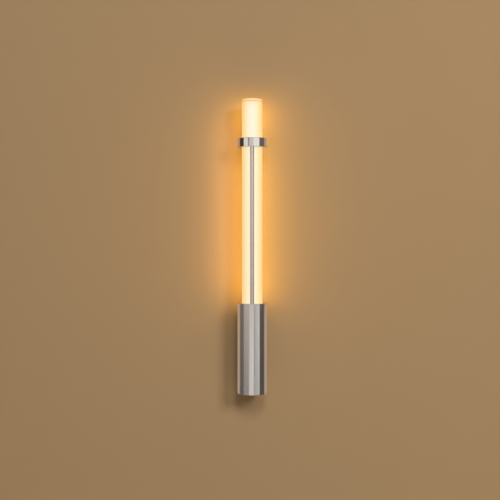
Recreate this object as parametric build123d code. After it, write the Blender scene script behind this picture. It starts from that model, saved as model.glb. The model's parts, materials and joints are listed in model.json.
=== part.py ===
from build123d import *

import math
import os

# Tube wall light. Millimetres, +Z up, the wall is the plane y = 0 and the light hangs on its -Y side.
# The origin is the middle of the two wall screws, level with the middle of the round base.

# ---- Driving dimensions: what shows -------------------------------------------------------------
base_diameter = 60.0
base_height = 184.0
wall_gap = 20.0             # from the wall to the back of the round base
sleeve_wall = 2.0
top_cap_flange = 8.0        # the part of the top cap that shows over the sleeve
rod_diameter = 8.0
rod_margin = 0.5            # from the rod to the tube, and from the rod to the edge of base and ring
tube_wall = 2.5
tube_above_ring = 74.0      # glass alone, without its end cap
cap_gasket_thickness = 0.8
tube_cap_thickness = 4.2
tube_cap_rounding = 1.2
seam_break = 0.4            # small chamfer on the glass and the end cap, where they meet
ring_above_base = 316.0     # from the base's top face to the brace ring's underside
ring_height = 18.0
edge_break = 0.6            # small chamfer on the visible metal edges

# ---- Driving dimensions: inside the base --------------------------------------------------------
spigot_length = 20.0        # top cap inside the sleeve
ledge_thickness = 4.0       # step in the top cap that carries the tube
ledge_width = 4.3
gasket_thickness = 2.0
core_plate_thickness = 3.0
core_boss_height = 6.0
plate_screw_reach = 4.0     # of the core plate's screws, past the ledge's height
plate_screw_turns = (200, 270, 340)     # degrees about the lamp's axis, all forward of the chassis
chassis_screw_x = 8.0
chassis_screw_forward = 4.0 # from the chassis's front face
chassis_thickness = 1.5
chassis_width = 40.0
chassis_behind_axis = 12.0  # from the lamp's axis back to the chassis's front face
top_flange_reach = 9.0
foot_flange_reach = 21.0
foot_flange_width = 16.0
foot_flange_above_cap = 7.0
bottom_cap_thickness = 5.0
bottom_boss_diameter = 14.0
cap_screw_past_foot = 2.0   # end of the bottom cap's screw, past the foot flange
bend_share = 0.5            # inner bend radius of a sheet, as a share of its thickness

# ---- Driving dimensions: the light's core -------------------------------------------------------
core_width = 14.0
core_edge = 1.0
core_screw_grip = 12.0      # of the screws at both ends of the core
core_below_glass_top = 14.0
board_width = 12.0
board_thickness = 1.2
board_short_of_core = 4.0
led_length = 3.5
led_width = 2.8
led_height = 0.7
led_pitch = 16.0
spacer_thickness = 4.0
spacer_hole_diameter = 5.0
spacer_hole_turns = (45, 135, 225, 315)
tube_cap_spigot = 6.0
tube_cap_wall = 2.4

# ---- Driving dimensions: driver and terminals ---------------------------------------------------
driver_length = 58.0
driver_width = 30.0
driver_depth = 22.0
driver_wall = 1.5
driver_offset_x = -4.0
driver_below_plate = 16.0
driver_lug_length = 7.0
driver_lug_width = 15.0
driver_lug_thickness = 2.0
driver_board_height = 3.0
transformer_size = (15.0, 13.0, 18.0)
capacitor_diameter = 8.0
capacitor_length = 11.0
terminal_below_driver = 17.0
terminal_width = 28.0
terminal_depth = 15.0
terminal_height = 18.0
terminal_pitch = 9.0
terminal_tube_diameter = 5.2
terminal_tube_inset = 1.0   # from the block's end faces
terminal_screw_length = 5.0
terminal_edge = 1.0
terminal_rib = 0.8          # block left between a terminal tube and a fixing screw's head
earth_tag_diameter = 7.0
earth_tag_thickness = 0.8
earth_screw_x = 15.5
earth_screw_above_terminal = 22.0
earth_barrel_wall = 0.6
earth_barrel_length = 5.0
earth_neck_width = 2.4
mains_lead_diameter = 1.8
mains_lead_offsets = (-8.0, 1.0)        # live and neutral, from the driver's middle
mains_lead_straight = 4.0   # run in line with the driver or the earth tag before the lead enters it
lead_in_terminal = 5.0
lead_above_terminal = 3.5
lead_in_earth_barrel = 4.0
lead_in_driver = 2.0
led_lead_diameter = 1.6
led_lead_offsets = (1.0, 7.0)           # positive and negative, from the driver's middle
led_lead_forward = 8.0      # from the driver's board to the LED leads
led_lead_turns = (0.25, 0.55)           # heights of its two turns, as shares of the driver's gap to the plate
lead_spread = 1.9           # from one LED lead's middle to the other's
lead_grommet_wall = 1.0

# ---- Driving dimensions: wall side --------------------------------------------------------------
standoff_width = 40.0
standoff_height = 150.0
standoff_wall = 3.0
standoff_floor = 3.9        # at its thinnest, behind the saddle
standoff_corner = 4.0
saddle_land = 1.8
bracket_thickness = 2.0
bracket_tab_reach = 12.0
bracket_tab_width = 16.0
bracket_screw_from_wall = 7.0
bracket_screw_past_tab = 1.0
wall_screw_spacing = 100.0
wall_slot_width = 5.0
wall_slot_length = 12.0
wall_cable_hole = 22.0
standoff_screw_spacing = 60.0
spacer_bush_diameter = 8.0
grommet_diameter = 13.0
grommet_bore = 8.0
grommet_lip = 2.0
grommet_lip_thickness = 1.5
grommet_above_pocket = 2.0  # from the standoff's inside, at its lower end, to the grommet's lip
chassis_window = 18.0

# ---- Screws: thread radii and shares of them -----------------------------------------------------
small_thread = 1.5
main_thread = 2.0
head_radius_share = 1.8
head_height_share = 1.2
recess_depth_share = 0.6
recess_width_share = 0.5
grub_length = 6.0
rod_stud_length = 7.0
terminal_thread = 1.4

# ---- O-rings in the brace ring -------------------------------------------------------------------
o_ring_thickness = 1.6
o_ring_from_end = 3.0       # from the ring's end face to the O-ring's middle

# ---- Clearances ----------------------------------------------------------------------------------
thread_clearance = 0.05     # a screw in its thread, a stud in its hole
screw_clearance = 0.3       # a screw through a plain hole
fit_clearance = 0.1         # turned pieces fitted into each other
glide_clearance = 0.3       # round the sliding tube and the bottom cap
o_ring_clearance = 0.1
seat_gap = 0.1              # under the tube, and over the bottom cap's boss
lead_clearance = 0.3

# ---- Worked out from the above -------------------------------------------------------------------
base_r = base_diameter / 2
tube_r = base_r - rod_diameter - 2 * rod_margin
tube_in_r = tube_r - tube_wall
rod_r = rod_diameter / 2
axis_y = -(wall_gap + base_r)
rod_y = axis_y - (base_r + tube_r) / 2
sleeve_in_r = base_r - sleeve_wall
spigot_r = sleeve_in_r - fit_clearance
tube_bore_r = tube_r + glide_clearance
ledge_in_r = tube_bore_r - ledge_width

base_bottom = -base_height / 2
base_top = base_height / 2
ring_bottom = base_top + ring_above_base
ring_top = ring_bottom + ring_height
glass_top = ring_top + tube_above_ring
tube_cap_bottom = glass_top + cap_gasket_thickness
lamp_top = tube_cap_bottom + tube_cap_thickness

sleeve_top = base_top - top_cap_flange
spigot_bottom = sleeve_top - spigot_length
ledge_top = spigot_bottom + ledge_thickness
glass_bottom = ledge_top + gasket_thickness + seat_gap
plate_bottom = spigot_bottom - core_plate_thickness
boss_top = spigot_bottom + core_boss_height
plate_r = sleeve_in_r - 2 * glide_clearance
boss_r = ledge_in_r - fit_clearance
plate_screw_circle = (tube_bore_r + spigot_r) / 2

core_top = glass_top - core_below_glass_top
board_bottom = boss_top + board_thickness
board_top = core_top - board_short_of_core
core_half = core_width / 2
lead_hole_y = axis_y - (core_half + boss_r) / 2
led_lead_r = led_lead_diameter / 2
lead_grommet_bore = lead_spread / 2 + led_lead_r + lead_clearance
lead_grommet_r = lead_grommet_bore + lead_grommet_wall
plate_screw_grip = ledge_thickness + plate_screw_reach

chassis_front = axis_y + chassis_behind_axis
chassis_back = chassis_front + chassis_thickness
cap_top = base_bottom + bottom_cap_thickness
foot_flange = cap_top + foot_flange_above_cap
foot_top = foot_flange + chassis_thickness

driver_top = plate_bottom - driver_below_plate
driver_bottom = driver_top - driver_length
driver_front = chassis_front - driver_depth
driver_left = driver_offset_x - driver_width / 2
driver_right = driver_offset_x + driver_width / 2
driver_board_back = chassis_front - driver_wall - driver_board_height
driver_board_front = driver_board_back - board_thickness
terminal_top = driver_bottom - terminal_below_driver
terminal_bottom = terminal_top - terminal_height
terminal_y = chassis_front - terminal_depth / 2
terminal_mid = (terminal_top + terminal_bottom) / 2
mains_lead_r = mains_lead_diameter / 2
mains_lead_y = driver_board_front - mains_lead_diameter
mains_lead_x = [driver_offset_x + offset for offset in mains_lead_offsets]
led_lead_y = driver_board_front - led_lead_forward
led_lead_x = [driver_offset_x + offset for offset in led_lead_offsets]
terminal_tube_r = terminal_tube_diameter / 2
pole_bore = mains_lead_r + lead_clearance
poles = (-terminal_pitch, 0.0, terminal_pitch)

o_ring_r = o_ring_thickness / 2
o_ring_middle_r = tube_r + o_ring_clearance + o_ring_r
o_ring_heights = (ring_bottom + o_ring_from_end, ring_top - o_ring_from_end)
ring_middle = (ring_bottom + ring_top) / 2

saddle_r = base_r + fit_clearance
standoff_half = standoff_width / 2
pocket_half = standoff_half - standoff_wall
standoff_top = standoff_height / 2
pocket_top = standoff_top - standoff_wall
pocket_floor = axis_y + saddle_r + standoff_floor
grommet_lip_r = grommet_diameter / 2 + grommet_lip
mains_entry_z = -pocket_top + grommet_above_pocket + grommet_lip_r
bracket_top = pocket_top - glide_clearance
standoff_screws_z = (-standoff_screw_spacing / 2, standoff_screw_spacing / 2)

UP, DOWN = (0, 0, 1), (0, 0, -1)
FORWARD, BACK = (0, -1, 0), (0, 1, 0)
STAND = (Align.CENTER, Align.CENTER, Align.MIN)
CORNER = (Align.MIN, Align.MIN, Align.MIN)
past = 1.0                  # how far a cutting tool runs past the face it cuts


# ---- Helpers -------------------------------------------------------------------------------------
def turned(*outline):
    """A solid turned about the lamp's axis from its (radius, height) outline."""
    profile = make_face(Polyline([(r, 0, z) for r, z in outline], close=True))
    return Pos(0, axis_y, 0) * revolve(profile, Axis.Z)


def ring(outer_r, inner_r, low, high):
    """A plain ring about the lamp's axis."""
    return turned((inner_r, low), (outer_r, low), (outer_r, high), (inner_r, high))


def stacked(start, direction, *steps):
    """Coaxial round steps, each a (radius, length), one after the other from a point."""
    along = Plane(origin=start, z_dir=direction)
    reach = 0.0
    solid = None
    for radius, length in steps:
        step = along * Pos(0, 0, reach) * Cylinder(radius, length, align=STAND)
        solid = step if solid is None else solid + step
        reach += length
    return solid


def around_axis(radius, degrees, z):
    """A point at that radius and turn about the lamp's axis."""
    turn = math.radians(degrees)
    return (radius * math.cos(turn), axis_y + radius * math.sin(turn), z)


def hole(start, direction, radius, length):
    """A cutting cylinder that starts a little before its point and runs a little past its end."""
    back = Vector(*start) - Vector(*direction) * past
    return stacked(back, direction, (radius, length + 2 * past))


def block(low, high):
    """A box between two opposite corners."""
    size = [b - a for a, b in zip(low, high)]
    return Pos(*low) * Box(*size, align=CORNER)


def screw(seat, direction, thread_r, length):
    """A pan-head screw with a cross recess: its head stands on the seat, its shank runs along."""
    head_r = head_radius_share * thread_r
    head_height = head_height_share * thread_r
    top = Vector(*seat) - Vector(*direction) * head_height
    solid = stacked(top, direction, (head_r, head_height), (thread_r, length))
    rim = solid.faces().sort_by_distance(top)[0].edges()
    solid = fillet(rim, head_height / 2)
    depth = recess_depth_share * head_height
    long, narrow = head_r, recess_width_share * thread_r
    face = Plane(origin=top, z_dir=direction)
    return solid - face * Box(long, narrow, 2 * depth) - face * Box(narrow, long, 2 * depth)


def grub_screw(start, direction, thread_r, length):
    """A headless screw with a hexagon socket in its outer end."""
    socket = extrude(RegularPolygon(thread_r * recess_depth_share, 6), length / 2)
    return stacked(start, direction, (thread_r, length)) - Plane(origin=start, z_dir=direction) * socket


def bent_sheet(half_width, low, high, back, thickness, low_reach, high_reach):
    """A sheet that stands with its back face at y = back and is bent forward at both ends."""
    front = back - thickness
    outline = [
        (back, low), (back, high), (back - high_reach, high), (back - high_reach, high - thickness),
        (front, high - thickness), (front, low + thickness), (back - low_reach, low + thickness),
        (back - low_reach, low),
    ]
    profile = make_face(Polyline([(-half_width, y, z) for y, z in outline], close=True))
    sheet = extrude(profile, amount=2 * half_width, dir=(1, 0, 0))
    along_x = sheet.edges().filter_by(Axis.X)
    outer = [along_x.sort_by_distance((0, back, z))[0] for z in (low, high)]
    inner = [along_x.sort_by_distance((0, front, z))[0] for z in (low + thickness, high - thickness)]
    return fillet(inner, bend_share * thickness).fillet((1 + bend_share) * thickness, outer)


def corner_radii(points):
    """The largest arc that the two runs at each corner allow."""
    runs = [Vector(*b) - Vector(*a) for a, b in zip(points, points[1:])]
    return [
        0.45 * min(one.length, two.length) / math.tan(math.radians(one.get_angle(two) / 2))
        for one, two in zip(runs, runs[1:])
    ]


def lead(name, radius, *points):
    """An insulated wire along straight runs joined by tangent arcs."""
    radii = corner_radii(points)
    print(name, "arc radii", [round(r, 1) for r in radii])
    path = FilletPolyline(*points, radius=radii)
    return sweep(Plane(origin=path @ 0, z_dir=path % 0) * Circle(radius), path=path)


# ---- Wall side -----------------------------------------------------------------------------------
def make_wall_bracket():
    bracket = bent_sheet(pocket_half - screw_clearance, -bracket_top, bracket_top, 0,
                         bracket_thickness, bracket_tab_reach, bracket_tab_reach)
    tab_front = -bracket_tab_reach - past
    for side in (-1, 1):
        inner, outer = sorted((side * bracket_tab_width / 2, side * standoff_half))
        for end in (-1, 1):
            low, high = sorted((end * (bracket_top - 2 * bracket_thickness), end * (bracket_top + past)))
            bracket -= block((inner, tab_front, low), (outer, -bracket_thickness, high))
    slot_middle = SlotOverall(wall_slot_length, wall_slot_width, rotation=90)
    for z in (-wall_screw_spacing / 2, wall_screw_spacing / 2):
        slot = Plane(origin=(0, past, z), x_dir=(1, 0, 0), z_dir=FORWARD) * slot_middle
        bracket -= extrude(slot, bracket_thickness + 2 * past)
    bracket -= hole((0, 0, 0), FORWARD, wall_cable_hole / 2, bracket_thickness)
    for end in (-1, 1):
        start = (0, -bracket_screw_from_wall, end * bracket_top)
        bracket -= hole(start, (0, 0, -end), small_thread + thread_clearance, bracket_thickness)
    return bracket


def make_standoff():
    chord = standoff_half - saddle_land
    front = axis_y + math.sqrt(saddle_r ** 2 - chord ** 2)
    body = block((-standoff_half, front, -standoff_top), (standoff_half, 0, standoff_top))
    body = fillet(body.edges().filter_by(Axis.Y), standoff_corner)
    body -= turned((0, -standoff_top - past), (saddle_r, -standoff_top - past),
                   (saddle_r, standoff_top + past), (0, standoff_top + past))
    body -= block((-pocket_half, pocket_floor, -pocket_top), (pocket_half, past, pocket_top))
    for z in standoff_screws_z:
        body -= hole((0, pocket_floor, z), FORWARD, main_thread + screw_clearance, standoff_floor)
    body -= hole((0, pocket_floor, mains_entry_z), FORWARD,
                 grommet_diameter / 2 + fit_clearance, standoff_floor)
    for end in (-1, 1):
        start = (0, -bracket_screw_from_wall, end * standoff_top)
        body -= hole(start, (0, 0, -end), small_thread + screw_clearance, standoff_wall)
    return body


def make_bracket_screws():
    length = standoff_wall + glide_clearance + bracket_thickness + bracket_screw_past_tab
    return [screw((0, -bracket_screw_from_wall, end * standoff_top), (0, 0, -end), small_thread, length)
            for end in (-1, 1)]


def make_standoff_screws():
    length = pocket_floor - chassis_front
    return [screw((0, pocket_floor, z), FORWARD, main_thread, length) for z in standoff_screws_z]


def make_chassis_spacers():
    """Bushes between the sleeve's curved inside and the flat chassis."""
    bush_r = spacer_bush_diameter / 2
    start = axis_y + math.sqrt(sleeve_in_r ** 2 - bush_r ** 2) - seat_gap / 2
    length = start - chassis_back
    return [stacked((0, start, z), FORWARD, (bush_r, length))
            - hole((0, start, z), FORWARD, main_thread + thread_clearance, length)
            for z in standoff_screws_z]


def make_cable_grommet():
    inner_lip = axis_y + math.sqrt(sleeve_in_r ** 2 - grommet_lip_r ** 2) - seat_gap
    start = (0, pocket_floor + grommet_lip_thickness, mains_entry_z)
    body = pocket_floor - inner_lip
    bush = stacked(start, FORWARD, (grommet_lip_r, grommet_lip_thickness), (grommet_diameter / 2, body),
                   (grommet_lip_r, grommet_lip_thickness))
    return bush - hole(start, FORWARD, grommet_bore / 2, body + 2 * grommet_lip_thickness)


# ---- Base ----------------------------------------------------------------------------------------
def make_base_sleeve():
    sleeve = turned((sleeve_in_r, base_bottom), (base_r - edge_break, base_bottom),
                    (base_r, base_bottom + edge_break), (base_r, sleeve_top), (sleeve_in_r, sleeve_top))
    back = axis_y + base_r
    depth = 2 * sleeve_wall
    for z in standoff_screws_z:
        sleeve -= hole((0, back, z), FORWARD, main_thread + screw_clearance, depth)
    return sleeve - hole((0, back, mains_entry_z), FORWARD,
                         grommet_diameter / 2 + fit_clearance, depth)


def plate_screw_places(z):
    return [around_axis(plate_screw_circle, degrees, z) for degrees in plate_screw_turns]


def make_top_cap():
    cap = turned((ledge_in_r, spigot_bottom), (spigot_r, spigot_bottom), (spigot_r, sleeve_top),
                 (base_r, sleeve_top), (base_r, base_top - edge_break), (base_r - edge_break, base_top),
                 (tube_bore_r, base_top), (tube_bore_r, ledge_top), (ledge_in_r, ledge_top))
    cap -= stacked((0, rod_y, base_top + past), DOWN,
                   (main_thread + thread_clearance, rod_stud_length + thread_clearance + past))
    for place in plate_screw_places(spigot_bottom - past):
        depth = past + plate_screw_grip + thread_clearance
        cap -= stacked(place, UP, (small_thread + thread_clearance, depth))
    return cap


def make_seat_gasket():
    return ring(tube_bore_r - fit_clearance, ledge_in_r + glide_clearance, ledge_top,
                ledge_top + gasket_thickness)


def make_core_plate():
    plate = turned((0, plate_bottom), (plate_r, plate_bottom), (plate_r, spigot_bottom),
                   (boss_r, spigot_bottom), (boss_r, boss_top), (0, boss_top))
    pocket = core_half + fit_clearance
    plate -= block((-pocket, axis_y - pocket, spigot_bottom), (pocket, axis_y + pocket, boss_top + past))
    plate -= hole((0, axis_y, plate_bottom), UP, main_thread + screw_clearance, core_plate_thickness)
    plate -= hole((0, lead_hole_y, plate_bottom), UP, lead_grommet_r + fit_clearance,
                  boss_top - plate_bottom)
    for place in plate_screw_places(plate_bottom):
        plate -= hole(place, UP, small_thread + screw_clearance, core_plate_thickness)
    for place in chassis_screw_places(plate_bottom):
        plate -= hole(place, UP, small_thread + thread_clearance, core_plate_thickness)
    return plate


def make_core_plate_screws():
    return [screw(place, UP, small_thread, core_plate_thickness + plate_screw_grip)
            for place in plate_screw_places(plate_bottom)]


def make_lead_grommet():
    start = (0, lead_hole_y, plate_bottom - grommet_lip_thickness)
    length = core_plate_thickness + core_boss_height
    bush = stacked(start, UP, (lead_grommet_r + grommet_lip / 2, grommet_lip_thickness),
                   (lead_grommet_r, length))
    return bush - hole(start, UP, lead_grommet_bore, length + grommet_lip_thickness)


def chassis_screw_places(z):
    return [(x, chassis_front - chassis_screw_forward, z) for x in (-chassis_screw_x, chassis_screw_x)]


def make_chassis():
    chassis = bent_sheet(chassis_width / 2, foot_flange, plate_bottom, chassis_back,
                         chassis_thickness, foot_flange_reach, top_flange_reach)
    for side in (-1, 1):
        inner, outer = sorted((side * foot_flange_width / 2, side * (chassis_width / 2 + past)))
        chassis -= block((inner, chassis_back - foot_flange_reach - past, foot_flange - past),
                         (outer, chassis_front, foot_top + chassis_thickness))
    chassis -= hole((0, axis_y, foot_flange), UP, main_thread + thread_clearance, chassis_thickness)
    for z in standoff_screws_z:
        chassis -= hole((0, chassis_back, z), FORWARD, main_thread + thread_clearance, chassis_thickness)
    chassis -= hole((0, chassis_back, mains_entry_z), FORWARD, chassis_window / 2, chassis_thickness)
    for place in chassis_screw_places(plate_bottom - chassis_thickness):
        chassis -= hole(place, UP, small_thread + screw_clearance, chassis_thickness)
    for place in driver_screw_places() + terminal_fixing_places() + [earth_screw_place()]:
        start = (place[0], chassis_front, place[2])
        chassis -= hole(start, BACK, small_thread + thread_clearance, chassis_thickness)
    return chassis


def make_chassis_screws():
    length = chassis_thickness + core_plate_thickness - thread_clearance
    return [screw(place, UP, small_thread, length)
            for place in chassis_screw_places(plate_bottom - chassis_thickness)]


def make_bottom_cap():
    cap_r = sleeve_in_r - glide_clearance
    boss_top_z = foot_flange - seat_gap
    cap = turned((0, base_bottom), (cap_r - edge_break, base_bottom), (cap_r, base_bottom + edge_break),
                 (cap_r, cap_top), (bottom_boss_diameter / 2, cap_top),
                 (bottom_boss_diameter / 2, boss_top_z), (0, boss_top_z))
    head_height = head_height_share * main_thread
    head_r = head_radius_share * main_thread
    cap -= hole((0, axis_y, base_bottom), UP, main_thread + fit_clearance, boss_top_z - base_bottom)
    return cap - stacked((0, axis_y, base_bottom - past), UP, (head_r + glide_clearance, head_height + past))


def make_bottom_cap_screw():
    seat = base_bottom + head_height_share * main_thread
    length = foot_top + cap_screw_past_foot - seat
    return screw((0, axis_y, seat), UP, main_thread, length)


# ---- The light's core ----------------------------------------------------------------------------
def make_led_core():
    core = block((-core_half, axis_y - core_half, spigot_bottom), (core_half, axis_y + core_half, core_top))
    core = chamfer(core.edges().filter_by(Axis.Z), core_edge)
    return core - hole((0, axis_y, spigot_bottom), UP, main_thread + thread_clearance,
                       core_top - spigot_bottom)


def make_core_screw():
    return screw((0, axis_y, plate_bottom), UP, main_thread, core_plate_thickness + core_screw_grip)


def make_feed_board():
    inner = core_half + fit_clearance
    board = stacked((0, axis_y, boss_top), UP, (boss_r - glide_clearance, board_thickness))
    return board - block((-inner, axis_y - inner, boss_top - past),
                         (inner, axis_y + inner, board_bottom + past))


def core_sides():
    """The names of the core's four sides, each with its turn about the lamp's axis."""
    return {"front": 0, "right": 90, "back": 180, "left": 270}


def on_side(solid, turn):
    """Carries a solid from the front of the core to another side."""
    return Pos(0, axis_y, 0) * Rot(0, 0, turn) * Pos(0, -axis_y, 0) * solid


def make_led_board(turn):
    face = axis_y - core_half
    board = block((-board_width / 2, face - board_thickness, board_bottom),
                  (board_width / 2, face, board_top))
    return on_side(board, turn)


def make_leds(turn):
    """One side's row of LED packages, at an even pitch and centred on its board."""
    count = int((board_top - board_bottom - led_length) // led_pitch) + 1
    first = (board_top + board_bottom - (count - 1) * led_pitch) / 2
    face = axis_y - core_half - board_thickness
    low_x, high_x = -led_width / 2, led_width / 2
    leds = []
    for index in range(count):
        z = first + index * led_pitch
        package = block((low_x, face - led_height, z - led_length / 2), (high_x, face, z + led_length / 2))
        leds.append(on_side(package, turn))
    return leds


def make_core_spacer():
    """A disc that centres the top of the core in the glass."""
    disc_r = tube_in_r - glide_clearance
    disc = turned((0, core_top), (disc_r - edge_break, core_top), (disc_r, core_top + edge_break),
                  (disc_r, core_top + spacer_thickness), (0, core_top + spacer_thickness))
    disc -= hole((0, axis_y, core_top), UP, main_thread + screw_clearance, spacer_thickness)
    hole_circle = (disc_r + core_half) / 2
    for degrees in spacer_hole_turns:
        place = around_axis(hole_circle, degrees, core_top)
        disc -= hole(place, UP, spacer_hole_diameter / 2, spacer_thickness)
    return disc


def make_spacer_screw():
    return screw((0, axis_y, core_top + spacer_thickness), DOWN, main_thread,
                 spacer_thickness + core_screw_grip)


# ---- The tube and its brace ----------------------------------------------------------------------
def make_opal_tube():
    return turned((tube_in_r, glass_bottom), (tube_r, glass_bottom), (tube_r, glass_top - seam_break),
                  (tube_r - seam_break, glass_top), (tube_in_r, glass_top))


def make_cap_gasket():
    return ring(tube_r - seam_break, tube_in_r, glass_top, tube_cap_bottom)


def make_tube_cap():
    plug_r = tube_in_r - fit_clearance
    plug_bottom = glass_top - tube_cap_spigot
    plug_in_r = plug_r - tube_cap_wall
    cap = turned((0, lamp_top), (tube_r, lamp_top), (tube_r, tube_cap_bottom + seam_break),
                 (tube_r - seam_break, tube_cap_bottom), (plug_r, tube_cap_bottom),
                 (plug_r, plug_bottom), (plug_in_r, plug_bottom),
                 (plug_in_r, lamp_top - tube_cap_wall), (0, lamp_top - tube_cap_wall))
    return fillet(cap.edges().group_by(Axis.Z)[-1], tube_cap_rounding)


def make_brace_ring():
    body = turned((tube_bore_r, ring_bottom), (base_r - edge_break, ring_bottom),
                  (base_r, ring_bottom + edge_break), (base_r, ring_top - edge_break),
                  (base_r - edge_break, ring_top), (tube_bore_r, ring_top))
    groove_r = o_ring_middle_r + o_ring_r + o_ring_clearance
    groove_half = o_ring_r + o_ring_clearance
    for z in o_ring_heights:
        body -= ring(groove_r, tube_bore_r - past, z - groove_half, z + groove_half)
    body -= stacked((0, rod_y, ring_bottom - past), UP,
                    (main_thread + thread_clearance, past + rod_stud_length + thread_clearance))
    return body - hole((0, axis_y + base_r, ring_middle), FORWARD, main_thread + thread_clearance,
                       base_r - tube_bore_r)


def make_ring_o_rings():
    return [Pos(0, axis_y, z) * Torus(o_ring_middle_r, o_ring_r) for z in o_ring_heights]


def make_ring_grub_screw():
    start = axis_y + tube_bore_r + grub_length
    return grub_screw((0, start, ring_middle), FORWARD, main_thread, grub_length)


def make_rod():
    bar = stacked((0, rod_y, base_top), UP, (rod_r, ring_above_base))
    ends = stacked((0, rod_y, base_top - rod_stud_length), UP,
                   (main_thread, ring_above_base + 2 * rod_stud_length))
    return bar + ends


# ---- Driver, terminals and leads -----------------------------------------------------------------
def driver_screw_places():
    middle = driver_lug_length / 2
    return [(driver_offset_x, chassis_front - driver_lug_thickness, z)
            for z in (driver_bottom - middle, driver_top + middle)]


def make_driver_case():
    """A tray that lies with its back on the chassis and opens to the front."""
    lid_back = driver_front + driver_wall
    case = block((driver_left, lid_back, driver_bottom), (driver_right, chassis_front, driver_top))
    inner_left, inner_right = driver_left + driver_wall, driver_right - driver_wall
    inner_back = chassis_front - driver_wall
    case -= block((inner_left, lid_back - past, driver_bottom + driver_wall),
                  (inner_right, inner_back, driver_top - driver_wall))
    for left in (inner_left, inner_right - driver_wall):
        case += block((left, driver_board_back, driver_bottom + driver_wall),
                      (left + driver_wall, inner_back, driver_top - driver_wall))
    lug_half = driver_lug_width / 2
    lug_front = chassis_front - driver_lug_thickness
    for low, high in ((driver_bottom - driver_lug_length, driver_bottom),
                      (driver_top, driver_top + driver_lug_length)):
        case += block((driver_offset_x - lug_half, lug_front, low),
                      (driver_offset_x + lug_half, chassis_front, high))
    for place in driver_screw_places():
        case -= hole(place, BACK, small_thread + screw_clearance, driver_lug_thickness)
    for x in mains_lead_x:
        case -= hole((x, mains_lead_y, driver_bottom), UP, mains_lead_r + lead_clearance, driver_wall)
    for x in led_lead_x:
        case -= hole((x, led_lead_y, driver_top), DOWN, led_lead_r + lead_clearance, driver_wall)
    return case


def make_driver_lid():
    lid = block((driver_left, driver_front, driver_bottom),
                (driver_right, driver_front + driver_wall, driver_top))
    return chamfer(lid.faces().sort_by(Axis.Y)[0].edges(), driver_wall / 2)


def make_driver_board():
    edge = driver_wall + fit_clearance
    return block((driver_left + edge, driver_board_front, driver_bottom + edge),
                 (driver_right - edge, driver_board_back, driver_top - edge))


def make_driver_transformer():
    width, depth, height = transformer_size
    middle = (driver_top + driver_bottom) / 2
    return block((driver_offset_x - width / 2, driver_board_front - depth, middle - height / 2),
                 (driver_offset_x + width / 2, driver_board_front, middle + height / 2))


def make_driver_capacitors():
    middle = (driver_top + driver_bottom) / 2
    reach = transformer_size[2] / 2 + capacitor_diameter
    can_r = capacitor_diameter / 2
    return [stacked((driver_offset_x, driver_board_front, middle + side * reach), FORWARD,
                    (can_r, capacitor_length)) for side in (-1, 1)]


def make_driver_screws():
    length = driver_lug_thickness + chassis_thickness
    return [screw(place, BACK, small_thread, length) for place in driver_screw_places()]


def terminal_fixing_places():
    seat = terminal_y - terminal_tube_r - terminal_rib
    return [(x, seat, terminal_mid) for x in (-terminal_pitch / 2, terminal_pitch / 2)]


def terminal_screw_heights():
    quarter = terminal_height / 4
    return (terminal_mid - quarter, terminal_mid + quarter)


def make_terminal_block():
    front = chassis_front - terminal_depth
    body = block((-terminal_width / 2, front, terminal_bottom),
                 (terminal_width / 2, chassis_front, terminal_top))
    body = chamfer(body.faces().sort_by(Axis.Y)[0].edges(), terminal_edge)
    for x in poles:
        body -= hole((x, terminal_y, terminal_bottom), UP, terminal_tube_r + thread_clearance,
                     terminal_height)
        for z in terminal_screw_heights():
            body -= hole((x, front, z), BACK, terminal_thread + screw_clearance, terminal_depth / 2 - past)
    head_r = head_radius_share * small_thread + fit_clearance
    for x, seat, z in terminal_fixing_places():
        body -= stacked((x, front - past, z), BACK, (head_r, seat - front + past))
        body -= hole((x, seat, z), BACK, small_thread + fit_clearance, chassis_front - seat)
    return body


def make_terminal_tubes():
    """Brass tubes that take a wire from each end, one to a pole."""
    tubes = []
    for x in poles:
        start = (x, terminal_y, terminal_bottom + terminal_tube_inset)
        length = terminal_height - 2 * terminal_tube_inset
        tube = stacked(start, UP, (terminal_tube_r, length)) - hole(start, UP, pole_bore, length)
        for z in terminal_screw_heights():
            tube -= stacked((x, terminal_y, z), FORWARD,
                            (terminal_thread + thread_clearance, terminal_depth / 2))
        tubes.append(tube)
    return tubes


def make_terminal_screws():
    start = terminal_y - mains_lead_r - seat_gap - terminal_screw_length
    return [grub_screw((x, start, z), BACK, terminal_thread, terminal_screw_length)
            for x in poles for z in terminal_screw_heights()]


def make_terminal_fixing_screws():
    return [screw(place, BACK, small_thread, chassis_back - place[1]) for place in terminal_fixing_places()]


def earth_screw_place():
    return (earth_screw_x, chassis_front - earth_tag_thickness, terminal_top + earth_screw_above_terminal)


def earth_barrel():
    """The middle line's y, the outer radius, and the low and high ends of the tag's barrel."""
    outer = mains_lead_r + earth_barrel_wall
    high = earth_screw_place()[2] - earth_tag_diameter / 2
    return chassis_front - outer, outer, high - earth_barrel_length, high


def make_earth_tag():
    x, front, z = earth_screw_place()
    barrel_y, barrel_r, low, high = earth_barrel()
    tag = stacked((x, front, z), BACK, (earth_tag_diameter / 2, earth_tag_thickness))
    half = earth_neck_width / 2
    tag += block((x - half, front, high - past), (x + half, chassis_front, z))
    tag += stacked((x, barrel_y, low), UP, (barrel_r, high - low))
    tag -= stacked((x, barrel_y, low - past), UP,
                   (mains_lead_r + thread_clearance, past + lead_in_earth_barrel))
    return tag - hole((x, front, z), BACK, small_thread + screw_clearance, earth_tag_thickness)


def make_earth_screw():
    return screw(earth_screw_place(), BACK, small_thread, earth_tag_thickness + chassis_thickness)


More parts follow.
